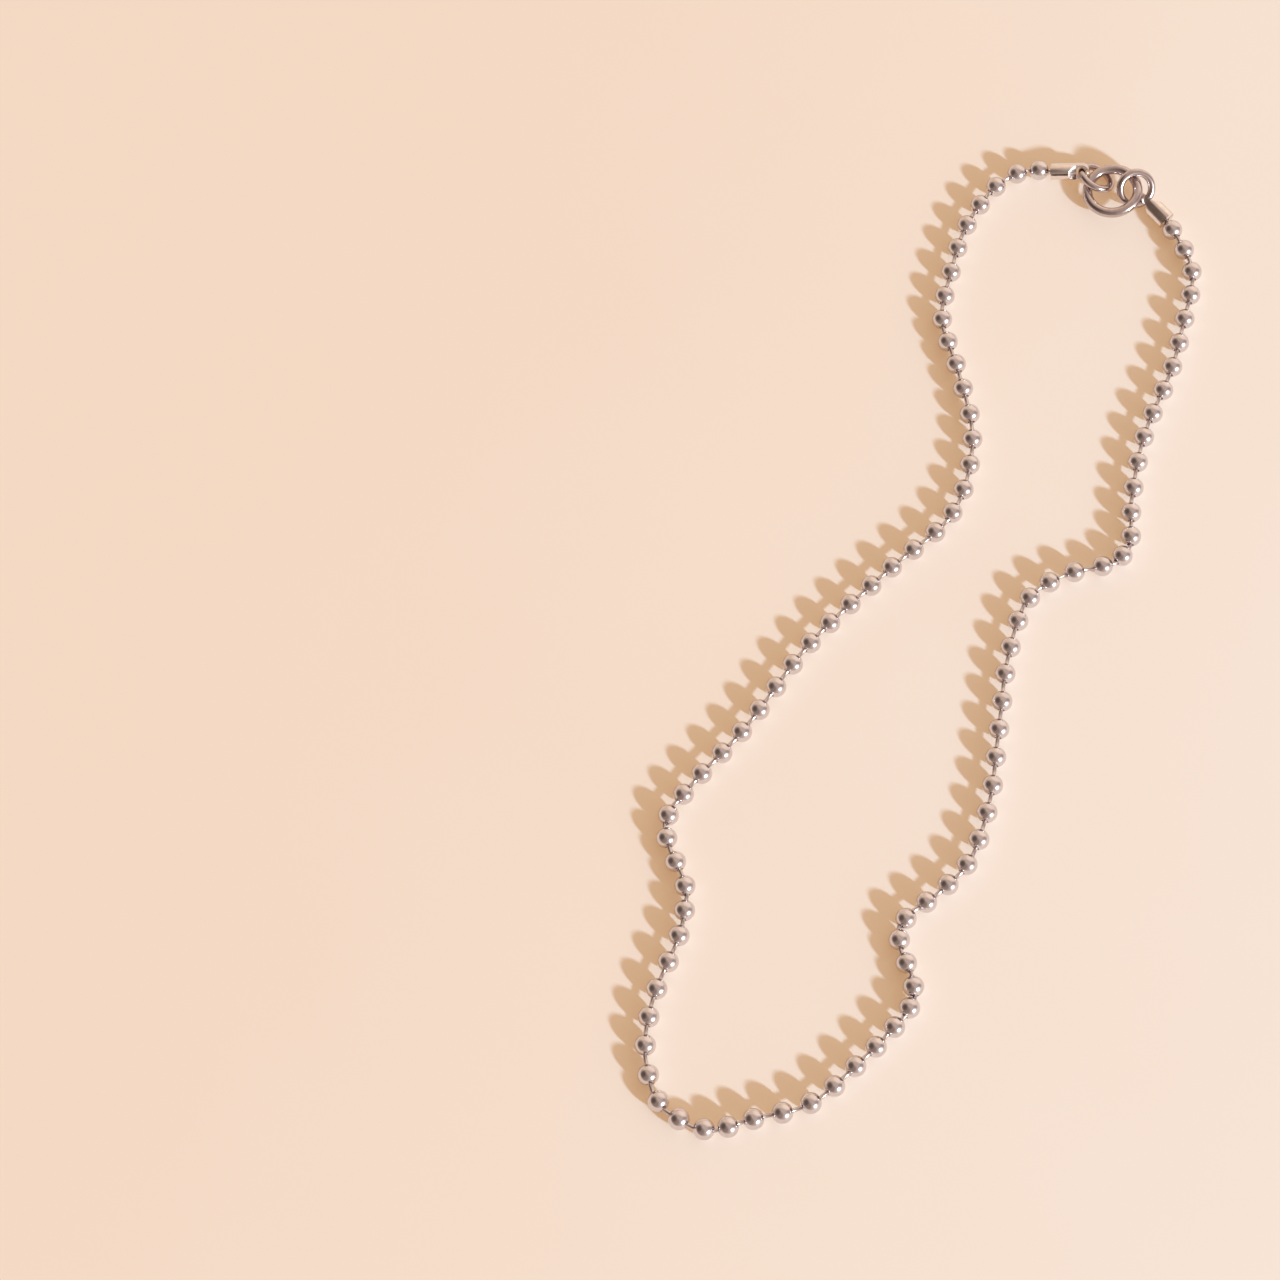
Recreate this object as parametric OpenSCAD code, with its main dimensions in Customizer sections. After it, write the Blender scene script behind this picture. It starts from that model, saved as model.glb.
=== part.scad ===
// Ball chain necklace in polished steel, laid on a surface as a closed loop.
// Hollow beads are strung on short links with a head at each end, and both ends
// of the chain are held in folded caps, joined through two jump rings and a large ring.
// X points right and Y away from the viewer; Z = 0 is the surface it lies on.

/* [Beads] */
// Number of beads on the chain
bead_count = 89; // [89]
// Outside diameter of a bead
bead_d = 4; // [3.6:0.1:4.1]
// Thickness of a bead's shell
bead_wall = 0.25; // [0.2:0.05:0.35]
// Diameter of the two holes in a bead, and of the hole in a cap's mouth
bead_hole_d = 1.3; // [1.2:0.05:1.4]

/* [Links] */
// Length of a link over both heads
link_length = 3.7; // [3.65:0.05:3.75]
// Wire diameter of a link
link_wire_d = 0.8; // [0.6:0.05:0.85]
// Diameter of a link's heads
link_head_d = 1.5; // [1.45:0.05:1.55]
// Thickness of a link's heads
link_head_t = 0.35; // [0.25:0.05:0.4]
// Bevel round the end of a head
link_head_bevel = 0.12; // [0.05:0.01:0.2]

/* [End caps] */
// Length of a cap's closed body, from its mouth to its eye
cap_length = 4.7; // [4.6:0.05:4.8]
// Width of the body across its rounded sides
cap_width = 3.8; // [3.5:0.1:4.2]
// Depth of the body from one shell's back to the other's
cap_depth = 3.1; // [3:0.1:3.4]
// Thickness of the sheet that the cap is folded from
cap_sheet = 0.35; // [0.3:0.05:0.45]
// Gap of the seam between the two shells
cap_seam = 0.3; // [0.2:0.05:0.4]
// Length of the sloping shoulders at the eye end
cap_shoulder = 1.1; // [0.8:0.1:1.4]
// Inside diameter of the eye
eye_hole_d = 2.3; // [2.2:0.05:2.4]
// Width of the strip that forms the eye
eye_width = 1.4; // [1:0.1:1.5]

/* [Rings] */
// Outside diameter of the large ring
ring_od = 12; // [11.6:0.1:12.4]
// Wire diameter of the large ring
ring_wire_d = 2; // [1.6:0.1:2.1]
// Outside diameter of the two jump rings
jump_od = 8; // [7.8:0.1:8.4]
// Wire diameter of the two jump rings
jump_wire_d = 1.5; // [1.2:0.1:1.6]

/* [Hidden] */

// Sides of a circle where the exact curve is drawn as a mesh
round_sides = 48;
// Overlap of a cutting shape past the face it cuts
cut = 1;

steel = [0.78, 0.75, 0.73];
dark_steel = [0.6, 0.56, 0.55];
cap_steel = [0.72, 0.67, 0.64];
ring_steel = [0.68, 0.63, 0.61];

// Route of the chain seen from above: the number of the bead, counted from the
// right cap, and the x and y of its centre, in quarters of a bead's diameter.
// Beads between two rows follow a smooth curve, and the first and last rows are
// the mouths of the two caps.
route = [
    [-1, 53.6, 84.9],
    [0, 54.6, 82.6],
    [1, 56.5, 78],
    [2, 57.5, 73],
    [4, 55, 62.5],
    [6, 51.5, 52],
    [9, 44.5, 37],
    [12, 40.5, 21],
    [13, 40, 16],
    [14, 38, 12],
    [15, 34, 10],
    [16, 28.5, 9],
    [18, 19.5, 4],
    [20, 15, -6],
    [23, 11.5, -22.5],
    [26, 8, -39],
    [28, 3.5, -49],
    [30, -4.5, -56],
    [31, -8.5, -59],
    [32, -10, -63],
    [33, -9, -67.5],
    [34, -8, -72],
    [35, -9, -76],
    [36, -12, -79.5],
    [38, -19.5, -86.5],
    [40, -28, -93],
    [42, -38.5, -95.5],
    [44, -47.5, -97],
    [46, -55.5, -91.5],
    [48, -57.5, -81],
    [50, -55, -70.5],
    [52, -50.5, -60.5],
    [54, -49, -51],
    [56, -52, -41.5],
    [57, -51.5, -37],
    [58, -48.5, -33],
    [61, -37, -21],
    [65, -23, -3.5],
    [69, -6.5, 11.5],
    [72, 6, 22.5],
    [75, 11, 38],
    [78, 9, 54.5],
    [80, 7, 64.5],
    [82, 9.5, 75],
    [84, 13.5, 85.5],
    [85, 16.5, 90],
    [86, 20, 94],
    [87, 24.5, 96.8],
    [88, 29, 97.4],
    [89, 31.6, 96.9],
];
// A quarter of a bead: the unit of the route, which grows with the beads
lay = bead_d / 4;
// Number of beads at each end that follow a cap's mouth when it moves off the route
end_beads = 8;

// Half sizes and the places that follow from them
bead_r = bead_d / 2;
bead_hole_r = bead_hole_d / 2;
bead_hole_at = bead_r - bead_wall / 2;
link_wire_r = link_wire_d / 2;
link_head_r = link_head_d / 2;
eye_hole_r = eye_hole_d / 2;
cap_reach = eye_hole_r + cap_sheet + cap_length;
ring_wire_r = ring_wire_d / 2;
ring_r = ring_od / 2 - ring_wire_r;
jump_wire_r = jump_wire_d / 2;
jump_r = jump_od / 2 - jump_wire_r;

// Where the middle of the large ring lies on the surface
ring_at = lay * [43.2, 91.5];
// How far each jump ring reaches out past the large ring, wire middle to wire middle:
// room for its cap's eye and a little play. Then the way in which it lies from there
eye_room = ring_wire_r + eye_hole_r + cap_sheet;
left_out = eye_room + 0.225;
left_way = 130.5;
right_out = eye_room + 0.4;
right_way = 0;
// Height of each ring's lowest point: the left one rests on the surface, the large
// one rides on its wire, and the right one hangs over the eye of its cap
left_lift = 0.03;
large_lift = 0.75 * jump_wire_d;
right_lift = 2 * cap_sheet;
// Height of each ring's middle above its lowest point, and the way it leans to
left_rise = 1.1 * jump_wire_d;
left_to = 37.5;
large_rise = 0.37 * ring_wire_d;
large_to = 175;
right_rise = 1.01 * ring_wire_d;
right_to = -79.5;

// Place of a jump ring's middle, seen from above
function beside(out, way) = ring_at + (ring_r + out - jump_r) * [cos(way), sin(way)];

// Pose of a ring: its centre, how far it leans, and the way it leans to
function leaning(at, radius, wire_r, lift, rise, to) =
    [[at[0], at[1], lift + wire_r + rise], asin(rise / radius), to];

large_ring_pose = leaning(ring_at, ring_r, ring_wire_r, large_lift, large_rise, large_to);
jump_left_pose =
    leaning(beside(left_out, left_way), jump_r, jump_wire_r, left_lift, left_rise, left_to);
jump_right_pose =
    leaning(beside(right_out, right_way), jump_r, jump_wire_r, right_lift, right_rise, right_to);

// Pose of each cap on its jump ring: how far round the ring its eye sits,
// how far it is bent out of the ring's plane, and how far it is rolled
cap_left_pose = [125, 31, 12];
cap_right_pose = [32, -36, 10];

function unit(v) = v / norm(v);
function spin_y(a, v) = [v[0] * cos(a) + v[2] * sin(a), v[1], v[2] * cos(a) - v[0] * sin(a)];
function spin_z(a, v) = [v[0] * cos(a) - v[1] * sin(a), v[0] * sin(a) + v[1] * cos(a), v[2]];

// A direction on a ring, seen from the place where a cap's eye sits
function on_ring(ring, cap, v) = spin_z(ring[2], spin_y(ring[1], spin_z(cap[0], v)));

// Middle of the sheet in a cap's mouth, where the first or last link passes
function cap_hole(ring, cap) = ring[0] + on_ring(ring, cap, [jump_r, 0, 0])
    + (cap_reach - cap_sheet / 2) * on_ring(ring, cap, spin_y(cap[1], [1, 0, 0]));

// Point and slope of the route at one of its rows
function row_point(i) = [route[i][1], route[i][2]];
function secant(i) = (row_point(i + 1) - row_point(i)) / (route[i + 1][0] - route[i][0]);
function row_slope(i) =
    i == 0 ? secant(0) :
    i == len(route) - 1 ? secant(i - 1) :
    let (before = route[i][0] - route[i - 1][0], after = route[i + 1][0] - route[i][0])
    (after * secant(i - 1) + before * secant(i)) / (before + after);

// The row at or before a bead
function row_before(k, i = 0) =
    i < len(route) - 2 && route[i + 1][0] <= k ? row_before(k, i + 1) : i;

// Place k of the route, on a cubic through the rows on both sides
function laid(k) =
    let (i = row_before(k), span = route[i + 1][0] - route[i][0], t = (k - route[i][0]) / span)
    lay * ((2 * t ^ 3 - 3 * t ^ 2 + 1) * row_point(i)
        + (3 * t ^ 2 - 2 * t ^ 3) * row_point(i + 1)
        + (t ^ 3 - 2 * t ^ 2 + t) * span * row_slope(i)
        + (t ^ 3 - t ^ 2) * span * row_slope(i + 1));

// Mouth of the cap before the first bead or after the last one
function mouth(k) =
    k < 0 ? cap_hole(jump_right_pose, cap_right_pose) : cap_hole(jump_left_pose, cap_left_pose);

// How far bead k follows the mouth at one end, less with each bead
function follow(k, end) =
    max(0, 1 - abs(k - end) / end_beads) * ([mouth(end)[0], mouth(end)[1]] - laid(end));

function bead_centre(k) =
    let (p = laid(k) + follow(k, -1) + follow(k, bead_count))
    [p[0], p[1], bead_r];

// Bead k, or the mouth of the cap that stands before the first or after the last bead
function stop(k) = k < 0 || k == bead_count ? mouth(k) : bead_centre(k);

// Where a link leaves stop k when the bead's holes lie along v; a mouth stays where it is
function hole(k, v) = stop(k) + (k < 0 || k == bead_count ? 0 : bead_hole_at) * v;
function chord(k) = k < 0 || k == bead_count ? [0, 0, 0] : unit(stop(k + 1) - stop(k - 1));

// A bead turns its holes along the line from the hole before it to the hole after it
function bead_axis(k) = unit(hole(k + 1, -chord(k + 1)) - hole(k - 1, chord(k - 1)));
function axis(k) = k < 0 || k == bead_count ? [0, 0, 0] : bead_axis(k);

// Link k runs from the hole of stop k - 1 to the hole of stop k
function link_from(k) = hole(k - 1, axis(k - 1));
function link_to(k) = hole(k, -axis(k));

// Turns what lies along Z to the direction v, and moves it to the point p
module along(p, v) {
    translate(p)
        rotate([0, acos(v[2] / norm(v)), atan2(v[1], v[0])])
            children();
}

module bead() {
    difference() {
        sphere(r = bead_r, $fn = round_sides);
        sphere(r = bead_r - bead_wall, $fn = round_sides);
        cylinder(r = bead_hole_r, h = bead_d + 2 * cut, center = true, $fn = round_sides);
    }
}

module link() {
    half = link_length / 2;
    neck = half - link_head_t;
    rotate_extrude($fn = round_sides)
        polygon([
            [0, -half],
            [link_head_r - link_head_bevel, -half],
            [link_head_r, -half + link_head_bevel],
            [link_head_r, -neck],
            [link_wire_r, -neck],
            [link_wire_r, neck],
            [link_head_r, neck],
            [link_head_r, half - link_head_bevel],
            [link_head_r - link_head_bevel, half],
            [0, half],
        ]);
}

// Section of a flattened tube, smaller by inset all round
module flat_tube(inset) {
    r = cap_depth / 2;
    side = cap_width / 2 - r;
    for (y = [-side, side])
        translate([y, 0])
            circle(r = r - inset, $fn = round_sides);
    square([2 * side, 2 * (r - inset)], center = true);
}

// One solid along x: a folded body, open at the seams on both sides,
// with its eye at the origin and its mouth at x = cap_reach
module end_cap() {
    eye_r = eye_hole_r + cap_sheet;
    shoulder_at = eye_r + cap_shoulder;
    hollow = cap_length - cap_shoulder - cap_sheet;
    difference() {
        union() {
            intersection() {
                translate([eye_hole_r, 0, 0])
                    rotate([90, 0, 90])
                        linear_extrude(height = cap_length + cap_sheet)
                            flat_tube(0);
                linear_extrude(height = 2 * cap_depth, center = true)
                    polygon([
                        [eye_hole_r, -eye_width / 2],
                        [shoulder_at, -cap_width / 2],
                        [cap_reach, -cap_width / 2],
                        [cap_reach, cap_width / 2],
                        [shoulder_at, cap_width / 2],
                        [eye_hole_r, eye_width / 2],
                    ]);
            }
            rotate([90, 0, 0])
                linear_extrude(height = eye_width, center = true) {
                    circle(r = eye_r, $fn = round_sides);
                    translate([0, -eye_r])
                        square([eye_r, 2 * eye_r]);
                }
        }
        rotate([90, 0, 0])
            cylinder(r = eye_hole_r, h = eye_width + 2 * cut, center = true, $fn = round_sides);
        translate([shoulder_at, 0, 0])
            rotate([90, 0, 90])
                linear_extrude(height = hollow)
                    flat_tube(cap_sheet);
        translate([cap_reach, 0, 0])
            rotate([0, 90, 0])
                cylinder(r = bead_hole_r, h = 2 * cap_sheet + 2 * cut, center = true, $fn = round_sides);
        translate([shoulder_at, -cap_width, -cap_seam / 2])
            cube([hollow + cap_sheet + cut, 2 * cap_width, cap_seam]);
    }
}

// Hangs a cap by its eye on a jump ring
module hang_cap(ring, cap) {
    color(cap_steel)
    translate(ring[0])
        rotate([0, ring[1], ring[2]])
            rotate([0, 0, cap[0]])
                translate([jump_r, 0, 0])
                    rotate([cap[2], cap[1], 0])
                        end_cap();
}

// A closed ring of round wire, leaning as its pose says
module round_ring(pose, radius, wire_r) {
    translate(pose[0])
        rotate([0, pose[1], pose[2]])
            rotate_extrude($fn = 2 * round_sides)
                translate([radius, 0])
                    circle(r = wire_r, $fn = round_sides);
}

module chain_beads() {
    color(steel)
    for (k = [0 : bead_count - 1])
        along(bead_centre(k), bead_axis(k))
            bead();
}

module chain_links() {
    color(dark_steel)
    for (k = [0 : bead_count])
        along((link_from(k) + link_to(k)) / 2, link_to(k) - link_from(k))
            link();
}

module end_cap_left() {
    hang_cap(jump_left_pose, cap_left_pose);
}

module end_cap_right() {
    hang_cap(jump_right_pose, cap_right_pose);
}

module jump_ring_left() {
    color(ring_steel)
    round_ring(jump_left_pose, jump_r, jump_wire_r);
}

module jump_ring_right() {
    color(ring_steel)
    round_ring(jump_right_pose, jump_r, jump_wire_r);
}

module large_ring() {
    color(ring_steel)
    round_ring(large_ring_pose, ring_r, ring_wire_r);
}

chain_beads();
chain_links();
end_cap_left();
end_cap_right();
jump_ring_left();
jump_ring_right();
large_ring();
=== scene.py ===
"""Ball chain necklace in polished steel, lying on a pale peach surface in low sunlight."""
import math

import bmesh
import bpy
from mathutils import Matrix, Vector


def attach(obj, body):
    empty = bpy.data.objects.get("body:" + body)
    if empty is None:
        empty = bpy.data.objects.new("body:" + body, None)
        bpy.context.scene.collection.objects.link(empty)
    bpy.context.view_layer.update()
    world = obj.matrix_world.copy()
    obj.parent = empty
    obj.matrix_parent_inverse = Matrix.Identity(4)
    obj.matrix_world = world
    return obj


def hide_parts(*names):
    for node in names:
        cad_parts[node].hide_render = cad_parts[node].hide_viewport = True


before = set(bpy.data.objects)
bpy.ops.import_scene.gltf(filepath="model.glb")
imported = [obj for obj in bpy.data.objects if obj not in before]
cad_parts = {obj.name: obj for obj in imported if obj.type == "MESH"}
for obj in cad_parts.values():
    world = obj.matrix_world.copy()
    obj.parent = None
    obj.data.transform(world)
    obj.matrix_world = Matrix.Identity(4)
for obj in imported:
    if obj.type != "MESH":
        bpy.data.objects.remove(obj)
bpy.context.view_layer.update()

MM = 0.001

# Sizes of the pieces, in millimetres, as in the part's source.
BEAD_R = 2.0
BEAD_WALL = 0.25
HOLE_R = 0.65
HOLE_AT = BEAD_R - BEAD_WALL / 2
LINK_LENGTH = 3.7
LINK_R = 0.4
HEAD_R = 0.75
HEAD_T = 0.35
JUMP_R = 3.25
JUMP_WIRE_R = 0.75
RING_R = 5.0
RING_WIRE_R = 1.0
CAP_SHEET = 0.35
CAP_LENGTH = 4.7
EYE_HOLE_R = 1.15
CAP_REACH = EYE_HOLE_R + CAP_SHEET + CAP_LENGTH
BEADS = 89
END_BEADS = 8

# The caps' soft edges: width in millimetres, and the angle from which an edge is a crease.
SOFT_EDGE = 0.1
CREASE = math.radians(20)
# Faces of the caps that differ by less than this are one face.
FLAT = math.radians(0.5)

# Steps round a full turn
BEAD_STEPS = 32
LINK_STEPS = 18
WIRE_STEPS = 32
RING_STEPS = 128
JUMP_STEPS = 96

# Where the sun stands, on the compass and above the surface, and how wide it is, in degrees
SUN_AT = (-46, 25)
SUN_WIDTH = 4

# The surface, in millimetres: half its size, and the stretch over which it turns paler
SURFACE_HALF = 1600
PALER_WAY = -23
PALER_REACH = 160

# Where the rings lie: how far each jump ring reaches out past the large one, and which way;
# the height of each ring's lowest point, of its middle above that, and the way it leans to.
RING_AT = Vector((43.2, 91.5))
EYE_ROOM = RING_WIRE_R + EYE_HOLE_R + CAP_SHEET
LEFT_OUT = EYE_ROOM + 0.225
LEFT_WAY = 130.5
RIGHT_OUT = EYE_ROOM + 0.4
RIGHT_WAY = 0
LEFT_LIFT = 0.03
LARGE_LIFT = 1.5 * JUMP_WIRE_R
RIGHT_LIFT = 2 * CAP_SHEET
LEFT_RISE = 2.2 * JUMP_WIRE_R
LEFT_TO = 37.5
LARGE_RISE = 0.74 * RING_WIRE_R
LARGE_TO = 175
RIGHT_RISE = 2.02 * RING_WIRE_R
RIGHT_TO = -79.5


def beside(out, way):
    turn = math.radians(way)
    return RING_AT + (RING_R + out - JUMP_R) * Vector((math.cos(turn), math.sin(turn)))


def leaning(at, radius, wire_r, lift, rise, to):
    """Pose of a ring: its centre, how far it leans, and the way it leans to."""
    return (at.x, at.y, lift + wire_r + rise), math.degrees(math.asin(rise / radius)), to


LARGE_RING = leaning(RING_AT, RING_R, RING_WIRE_R, LARGE_LIFT, LARGE_RISE, LARGE_TO)
JUMP_LEFT = leaning(beside(LEFT_OUT, LEFT_WAY), JUMP_R, JUMP_WIRE_R, LEFT_LIFT, LEFT_RISE, LEFT_TO)
JUMP_RIGHT = leaning(beside(RIGHT_OUT, RIGHT_WAY), JUMP_R, JUMP_WIRE_R, RIGHT_LIFT, RIGHT_RISE, RIGHT_TO)

# Pose of a cap: how far round its ring, how far bent out of the ring's plane, how far rolled.
CAP_LEFT = (125, 31, 12)
CAP_RIGHT = (32, -36, 10)

# Route of the chain: bead number, x and y. The first and last rows are the mouths of the caps.
ROUTE = (
    (-1, 53.6, 84.9), (0, 54.6, 82.6), (1, 56.5, 78), (2, 57.5, 73), (4, 55, 62.5), (6, 51.5, 52),
    (9, 44.5, 37), (12, 40.5, 21), (13, 40, 16), (14, 38, 12), (15, 34, 10), (16, 28.5, 9), (18, 19.5, 4),
    (20, 15, -6), (23, 11.5, -22.5), (26, 8, -39), (28, 3.5, -49), (30, -4.5, -56), (31, -8.5, -59),
    (32, -10, -63), (33, -9, -67.5), (34, -8, -72), (35, -9, -76), (36, -12, -79.5),
    (38, -19.5, -86.5), (40, -28, -93), (42, -38.5, -95.5), (44, -47.5, -97), (46, -55.5, -91.5),
    (48, -57.5, -81), (50, -55, -70.5), (52, -50.5, -60.5), (54, -49, -51), (56, -52, -41.5),
    (57, -51.5, -37), (58, -48.5, -33), (61, -37, -21), (65, -23, -3.5), (69, -6.5, 11.5),
    (72, 6, 22.5), (75, 11, 38), (78, 9, 54.5), (80, 7, 64.5), (82, 9.5, 75), (84, 13.5, 85.5),
    (85, 16.5, 90), (86, 20, 94), (87, 24.5, 96.8), (88, 29, 97.4), (89, 31.6, 96.9),
)


# The camera stands where the photograph was taken from.
def set_camera():
    aim = Vector((-55.5, -1.5, 2.0)) * MM
    distance = 630 * MM
    height = math.radians(68.06)
    roll = math.radians(2.285)
    right = Vector((1, 0, 0))
    up = Vector((0, math.sin(height), math.cos(height)))
    back = Vector((0, -math.cos(height), math.sin(height)))
    turned_right = math.cos(roll) * right - math.sin(roll) * up
    turned_up = math.sin(roll) * right + math.cos(roll) * up
    data = bpy.data.cameras.new("camera")
    data.sensor_width = 36
    data.lens = 92.71
    data.clip_start = 0.01
    data.clip_end = 20
    camera = bpy.data.objects.new("camera", data)
    turn = Matrix((turned_right, turned_up, back)).transposed().to_4x4()
    camera.matrix_world = Matrix.Translation(aim + back * distance) @ turn
    bpy.context.collection.objects.link(camera)
    bpy.context.scene.camera = camera


set_camera()


# The chain's route
def slope(i):
    def secant(j):
        span = ROUTE[j + 1][0] - ROUTE[j][0]
        return (Vector(ROUTE[j + 1][1:]) - Vector(ROUTE[j][1:])) / span
    if i == 0:
        return secant(0)
    if i == len(ROUTE) - 1:
        return secant(i - 1)
    before = ROUTE[i][0] - ROUTE[i - 1][0]
    after = ROUTE[i + 1][0] - ROUTE[i][0]
    return (after * secant(i - 1) + before * secant(i)) / (before + after)


def laid(k):
    i = max(j for j in range(len(ROUTE) - 1) if ROUTE[j][0] <= k)
    span = ROUTE[i + 1][0] - ROUTE[i][0]
    t = (k - ROUTE[i][0]) / span
    p = (2 * t ** 3 - 3 * t ** 2 + 1) * Vector(ROUTE[i][1:])
    p += (3 * t ** 2 - 2 * t ** 3) * Vector(ROUTE[i + 1][1:])
    p += (t ** 3 - 2 * t ** 2 + t) * span * slope(i) + (t ** 3 - t ** 2) * span * slope(i + 1)
    return p


def spin_y(degrees):
    return Matrix.Rotation(math.radians(degrees), 4, "Y")


def spin_z(degrees):
    return Matrix.Rotation(math.radians(degrees), 4, "Z")


def ring_place(pose):
    return Matrix.Translation(pose[0]) @ spin_z(pose[2]) @ spin_y(pose[1])


def cap_place(pose, cap):
    roll = Matrix.Rotation(math.radians(cap[2]), 4, "X")
    eye = Matrix.Translation((JUMP_R, 0, 0))
    return ring_place(pose) @ spin_z(cap[0]) @ eye @ spin_y(cap[1]) @ roll


def cap_hole(pose, cap):
    return cap_place(pose, cap) @ Vector((CAP_REACH - CAP_SHEET / 2, 0, 0))


MOUTHS = {-1: cap_hole(JUMP_RIGHT, CAP_RIGHT), BEADS: cap_hole(JUMP_LEFT, CAP_LEFT)}


def follow(k, end):
    """How far a bead follows the mouth at one end of the chain."""
    return max(0, 1 - abs(k - end) / END_BEADS) * (MOUTHS[end].to_2d() - laid(end))


def bead_centre(k):
    p = laid(k) + follow(k, -1) + follow(k, BEADS)
    return Vector((p.x, p.y, BEAD_R))


STOPS = [MOUTHS[-1]] + [bead_centre(k) for k in range(BEADS)] + [MOUTHS[BEADS]]


def bead_axes():
    still = Vector((0, 0, 0))
    inner = range(1, BEADS + 1)
    lie = [still] + [(STOPS[k + 1] - STOPS[k - 1]).normalized() for k in inner] + [still]
    axes = [still]
    for k in inner:
        ahead = STOPS[k + 1] - HOLE_AT * lie[k + 1]
        behind = STOPS[k - 1] + HOLE_AT * lie[k - 1]
        axes.append((ahead - behind).normalized())
    return axes + [still]


AXES = bead_axes()


# Mesh helpers
def spun(bm, steps):
    """Turns the edges of a profile in the XZ plane once round Z."""
    bmesh.ops.spin(
        bm, geom=bm.verts[:] + bm.edges[:], cent=(0, 0, 0), axis=(0, 0, 1),
        angle=math.tau, steps=steps, use_merge=True, use_normal_flip=False, use_duplicate=False,
    )
    bmesh.ops.remove_doubles(bm, verts=bm.verts, dist=1e-5)
    bmesh.ops.recalc_face_normals(bm, faces=bm.faces)


def profile(points):
    bm = bmesh.new()
    verts = [bm.verts.new((x, 0, z)) for x, z in points]
    for a, b in zip(verts, verts[1:]):
        bm.edges.new((a, b))
    return bm


def finished(bm, name, material):
    """Brings a mesh made in millimetres to metres and makes it a piece."""
    bmesh.ops.scale(bm, vec=(MM, MM, MM), verts=bm.verts)
    for face in bm.faces:
        face.smooth = True
    mesh = bpy.data.meshes.new(name)
    bm.to_mesh(mesh)
    bm.free()
    mesh.materials.append(material)
    piece = bpy.data.objects.new(name, mesh)
    bpy.context.collection.objects.link(piece)
    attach(piece, "root")
    return piece


def copies(shape, places):
    """One mesh of a shape at many places."""
    pattern = bpy.data.meshes.new("pattern")
    shape.to_mesh(pattern)
    shape.free()
    bm = bmesh.new()
    for place in places:
        start = len(bm.verts)
        bm.from_mesh(pattern)
        bm.verts.ensure_lookup_table()
        bmesh.ops.transform(bm, matrix=place, verts=bm.verts[start:])
    bpy.data.meshes.remove(pattern)
    return bm


def along(point, direction):
    return Matrix.Translation(point) @ direction.to_track_quat("Z", "Y").to_matrix().to_4x4()


# Materials
def nodes_of(name):
    material = bpy.data.materials.new(name)
    material.use_nodes = True
    tree = material.node_tree
    tree.nodes.clear()
    output = tree.nodes.new("ShaderNodeOutputMaterial")
    shader = tree.nodes.new("ShaderNodeBsdfPrincipled")
    tree.links.new(shader.outputs["BSDF"], output.inputs["Surface"])
    return material, tree, shader


def noise(tree, scale, detail=2.0, stretch=(1, 1, 1), distortion=0.0):
    """Noise whose scale counts waves per millimetre."""
    place = tree.nodes.new("ShaderNodeTexCoord")
    mapping = tree.nodes.new("ShaderNodeMapping")
    mapping.inputs["Scale"].default_value = stretch
    texture = tree.nodes.new("ShaderNodeTexNoise")
    texture.inputs["Scale"].default_value = scale / MM
    texture.inputs["Detail"].default_value = detail
    texture.inputs["Distortion"].default_value = distortion
    tree.links.new(place.outputs["Object"], mapping.inputs["Vector"])
    tree.links.new(mapping.outputs["Vector"], texture.inputs["Vector"])
    return texture.outputs["Fac"]


def spread(tree, value, low, high, out_low, out_high):
    """Maps a stretch of a pattern's values to a new range."""
    ramp = tree.nodes.new("ShaderNodeMapRange")
    ramp.inputs["From Min"].default_value = low
    ramp.inputs["From Max"].default_value = high
    ramp.inputs["To Min"].default_value = out_low
    ramp.inputs["To Max"].default_value = out_high
    tree.links.new(value, ramp.inputs["Value"])
    return ramp.outputs["Result"]


def blend(tree, factor, first, second):
    mix = tree.nodes.new("ShaderNodeMix")
    mix.data_type = "RGBA"
    mix.inputs["A"].default_value = (*first, 1)
    mix.inputs["B"].default_value = (*second, 1)
    tree.links.new(factor, mix.inputs["Factor"])
    return mix.outputs["Result"]


def bump(tree, height, strength, distance, normal=None):
    node = tree.nodes.new("ShaderNodeBump")
    node.inputs["Strength"].default_value = strength
    node.inputs["Distance"].default_value = distance * MM
    tree.links.new(height, node.inputs["Height"])
    if normal is not None:
        tree.links.new(normal, node.inputs["Normal"])
    return node.outputs["Normal"]


def polished_steel(name, tone, dull, rough_low, rough_high, waviness):
    """Polished stainless steel: faint haze, hairline marks and a slightly wavy skin."""
    material, tree, shader = nodes_of(name)
    shader.inputs["Metallic"].default_value = 1.0
    haze = noise(tree, 0.9, 4.0)
    hairs = noise(tree, 9.0, 2.0, (1, 0.06, 0.3), 0.4)
    ripple = noise(tree, 0.55, 1.0)
    tree.links.new(blend(tree, spread(tree, haze, 0.35, 0.7, 0, 1), tone, dull), shader.inputs["Base Color"])
    tree.links.new(spread(tree, haze, 0.3, 0.75, rough_low, rough_high), shader.inputs["Roughness"])
    skin = bump(tree, ripple, waviness, 0.05)
    skin = bump(tree, spread(tree, hairs, 0.6, 0.72, 0, 1), 0.05, 0.01, skin)
    tree.links.new(skin, shader.inputs["Normal"])
    return material


bead_steel = polished_steel("bead_steel", (0.76, 0.71, 0.72), (0.7, 0.65, 0.66), 0.1, 0.17, 0.12)
# Painted shade: the links are the beads' steel, given a darker tone to stand in for the shade they show.
link_steel = polished_steel("link_steel", (0.7, 0.63, 0.62), (0.58, 0.51, 0.5), 0.12, 0.2, 0.1)
# Painted reflection: the caps are the same steel, given a paler tone to stand in for the pale light they
# reflect.
cap_steel = polished_steel("cap_steel", (0.9, 0.83, 0.8), (0.81, 0.74, 0.71), 0.12, 0.18, 0.3)
# Painted shade: the rings are the same steel, given a darker, mauver tone to stand in for the shade they
# show.
ring_steel = polished_steel("ring_steel", (0.64, 0.565, 0.565), (0.56, 0.485, 0.485), 0.08, 0.14, 0.12)


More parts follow.
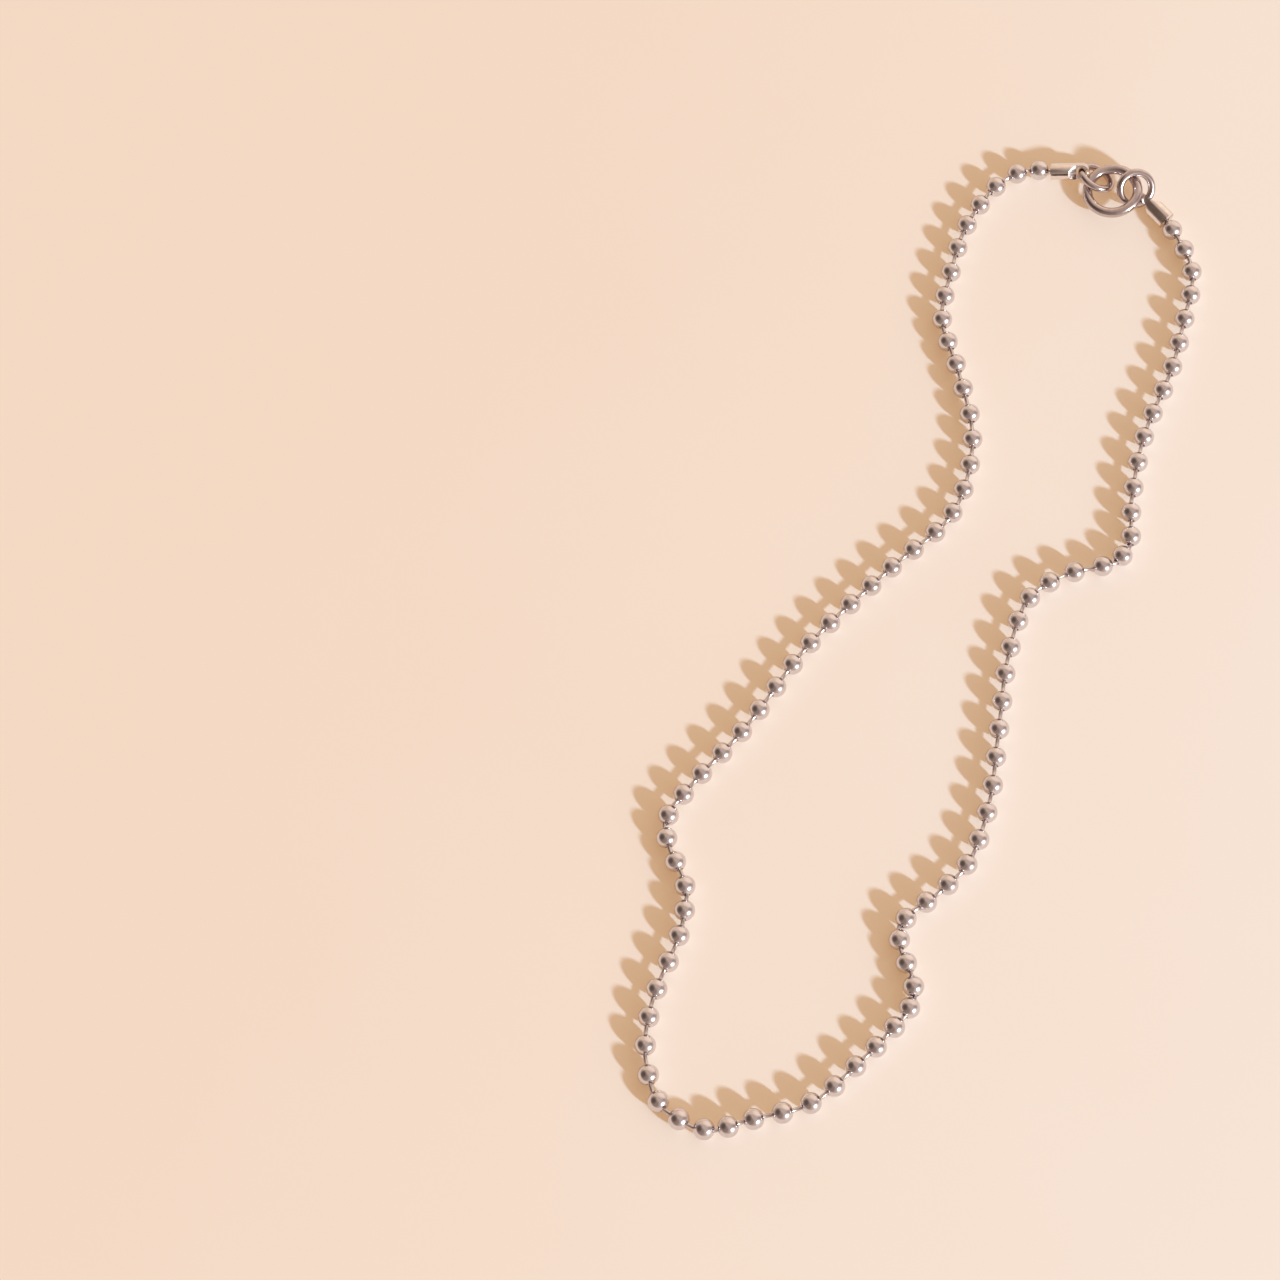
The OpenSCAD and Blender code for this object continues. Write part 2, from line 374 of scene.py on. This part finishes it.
# Beads: hollow balls whose two holes have a rolled lip
def bead_shape():
    lip = 0.1
    rim = HOLE_R + lip
    top = math.sqrt(BEAD_R ** 2 - rim ** 2)
    start = math.asin(rim / BEAD_R)
    steps = 16
    arc = [start + (math.pi - 2 * start) * i / steps for i in range(steps + 1)]
    outer = [(BEAD_R * math.sin(a), BEAD_R * math.cos(a)) for a in arc]
    end = [(HOLE_R - 0.01, top - 0.28), (HOLE_R, top - 0.1), (HOLE_R + 0.03, top - 0.02)]
    bm = profile(end + outer + [(x, -z) for x, z in reversed(end)])
    spun(bm, BEAD_STEPS)
    return bm


def link_shape():
    half = LINK_LENGTH / 2
    neck = half - HEAD_T
    bevel = 0.1
    side = [(0.0, half), (HEAD_R - bevel, half), (HEAD_R, half - bevel), (HEAD_R, neck + 0.03),
            (HEAD_R - 0.03, neck), (LINK_R + 0.05, neck), (LINK_R, neck - 0.05)]
    bm = profile(side + [(x, -z) for x, z in reversed(side)])
    spun(bm, LINK_STEPS)
    return bm


beads = finished(
    copies(bead_shape(), [along(STOPS[k], AXES[k]) for k in range(1, BEADS + 1)]),
    "beads", bead_steel,
)
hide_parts("chain_beads")


def link_places():
    places = []
    for k in range(BEADS + 1):
        a = STOPS[k] + HOLE_AT * AXES[k]
        b = STOPS[k + 1] - HOLE_AT * AXES[k + 1]
        places.append(along((a + b) / 2, b - a))
    return places


links = finished(copies(link_shape(), link_places()), "links", link_steel)
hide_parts("chain_links")


# Rings of round wire
def ring(name, node, pose, radius, wire_r, steps):
    bm = bmesh.new()
    turn = Matrix.Translation((radius, 0, 0)) @ Matrix.Rotation(math.pi / 2, 4, "X")
    bmesh.ops.create_circle(bm, segments=WIRE_STEPS, radius=wire_r, matrix=turn)
    spun(bm, steps)
    bmesh.ops.transform(bm, matrix=ring_place(pose), verts=bm.verts)
    piece = finished(bm, name, ring_steel)
    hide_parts(node)


ring("ring_large", "large_ring", LARGE_RING, RING_R, RING_WIRE_R, RING_STEPS)
ring("ring_left", "jump_ring_left", JUMP_LEFT, JUMP_R, JUMP_WIRE_R, JUMP_STEPS)
ring("ring_right", "jump_ring_right", JUMP_RIGHT, JUMP_R, JUMP_WIRE_R, JUMP_STEPS)


# Caps: the folded body and its eye, with soft edges
def cap(name, node):
    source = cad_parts[node]
    bm = bmesh.new()
    bm.from_mesh(source.data)
    bmesh.ops.remove_doubles(bm, verts=bm.verts, dist=2e-7)
    bmesh.ops.dissolve_limit(
        bm, angle_limit=FLAT, verts=bm.verts, edges=bm.edges,
        use_dissolve_boundaries=False, delimit=set(),
    )
    creases = [e for e in bm.edges if len(e.link_faces) == 2 and e.calc_face_angle() > CREASE]
    bmesh.ops.bevel(
        bm, geom=creases, offset=SOFT_EDGE * MM, offset_type="OFFSET", affect="EDGES",
        segments=4, profile=0.5, material=-1, clamp_overlap=True,
    )
    for face in bm.faces:
        face.smooth = True
    mesh = bpy.data.meshes.new(name)
    bm.to_mesh(mesh)
    bm.free()
    mesh.materials.append(cap_steel)
    piece = bpy.data.objects.new(name, mesh)
    bpy.context.collection.objects.link(piece)
    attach(piece, "root")
    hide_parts(node)


cap("cap_left", "end_cap_left")
cap("cap_right", "end_cap_right")


# Surface and light
def toward(azimuth, elevation):
    """Direction on the compass and above the surface, in degrees."""
    flat = math.cos(math.radians(elevation))
    turn = math.radians(azimuth)
    return Vector((flat * math.cos(turn), flat * math.sin(turn), math.sin(math.radians(elevation))))


def peach_surface():
    """A pale card; its faint orange glow is painted light, standing for the warm fill light that lifts its
    shadows.
    """
    bm = bmesh.new()
    bmesh.ops.create_grid(bm, x_segments=2, y_segments=2, size=SURFACE_HALF * MM)
    mesh = bpy.data.meshes.new("surface")
    bm.to_mesh(mesh)
    bm.free()
    material, tree, shader = nodes_of("peach_card")
    across = tree.nodes.new("ShaderNodeVectorMath")
    across.operation = "DOT_PRODUCT"
    across.inputs[1].default_value = toward(PALER_WAY, 0) / MM
    tree.links.new(tree.nodes.new("ShaderNodeTexCoord").outputs["Object"], across.inputs[0])
    paler = tree.nodes.new("ShaderNodeMath")
    paler.operation = "ADD"
    slant = spread(tree, across.outputs["Value"], -PALER_REACH, PALER_REACH, 0, 1)
    slant.node.interpolation_type = "SMOOTHSTEP"
    tree.links.new(slant, paler.inputs[0])
    tree.links.new(spread(tree, noise(tree, 0.02, 3.0), 0.3, 0.7, -0.05, 0.05), paler.inputs[1])
    tone = blend(tree, paler.outputs["Value"], (0.441, 0.417, 0.377), (0.47, 0.495, 0.486))
    tree.links.new(tone, shader.inputs["Base Color"])
    # Painted light: the card glows orange all over, standing for the warm fill light in its shadows.
    shader.inputs["Emission Color"].default_value = (0.392, 0.212, 0.092, 1)
    shader.inputs["Emission Strength"].default_value = 1.0
    shader.inputs["Roughness"].default_value = 0.85
    shader.inputs["Specular IOR Level"].default_value = 0.05
    tooth = noise(tree, 3.0, 3.0)
    tree.links.new(bump(tree, tooth, 0.15, 0.02), shader.inputs["Normal"])
    mesh.materials.append(material)
    surface = bpy.data.objects.new("surface", mesh)
    bpy.context.collection.objects.link(surface)


def sun():
    data = bpy.data.lights.new("low_sun", "SUN")
    data.energy = 5.7
    data.angle = math.radians(SUN_WIDTH)
    data.color = (0.68, 0.83, 1.0)
    lamp = bpy.data.objects.new("low_sun", data)
    lamp.rotation_euler = toward(*SUN_AT).to_track_quat("Z", "Y").to_euler()
    bpy.context.collection.objects.link(lamp)


def studio():
    """Pale light from the north, a bright window near the sun and the darker room between."""
    world = bpy.data.worlds.new("studio")
    bpy.context.scene.world = world
    world.use_nodes = True
    tree = world.node_tree
    background = tree.nodes["Background"]
    ray = tree.nodes.new("ShaderNodeTexCoord").outputs["Generated"]

    def patch(azimuth, elevation, inner, outer):
        """One within the inner angle of a direction, nought beyond the outer angle."""
        dot = tree.nodes.new("ShaderNodeVectorMath")
        dot.operation = "DOT_PRODUCT"
        dot.inputs[1].default_value = toward(azimuth, elevation)
        tree.links.new(ray, dot.inputs[0])
        ramp = tree.nodes.new("ShaderNodeMapRange")
        ramp.interpolation_type = "SMOOTHSTEP"
        ramp.inputs["From Min"].default_value = math.cos(math.radians(outer))
        ramp.inputs["From Max"].default_value = math.cos(math.radians(inner))
        tree.links.new(dot.outputs["Value"], ramp.inputs["Value"])
        return ramp.outputs["Result"]

    def over(factor, below, colour):
        mix = tree.nodes.new("ShaderNodeMix")
        mix.data_type = "RGBA"
        tree.links.new(factor, mix.inputs["Factor"])
        tree.links.new(below, mix.inputs["A"])
        mix.inputs["B"].default_value = (*colour, 1)
        return mix.outputs["Result"]

    light = blend(tree, patch(78, 3, 49, 61), (0.63, 0.5, 0.43), (0.86, 0.64, 0.46))
    light = over(patch(54, 20, 9, 50), light, (1.14, 0.93, 0.76))
    light = over(patch(-8, 27, 8, 30), light, (0.45, 0.355, 0.33))
    light = over(patch(-134, 38, 16, 52), light, (0.32, 0.24, 0.2))
    light = over(patch(178, 37, 8, 44), light, (0.13, 0.09, 0.07))
    light = over(patch(-40, 16, 5, 34), light, (1.25, 1.18, 1.08))
    light = over(patch(-40, 21, 10, 17), light, (3.1, 3.0, 2.8))
    tree.links.new(light, background.inputs["Color"])


peach_surface()
sun()
studio()
bpy.context.scene.view_settings.view_transform = "Standard"
bpy.context.scene.view_settings.look = "None"
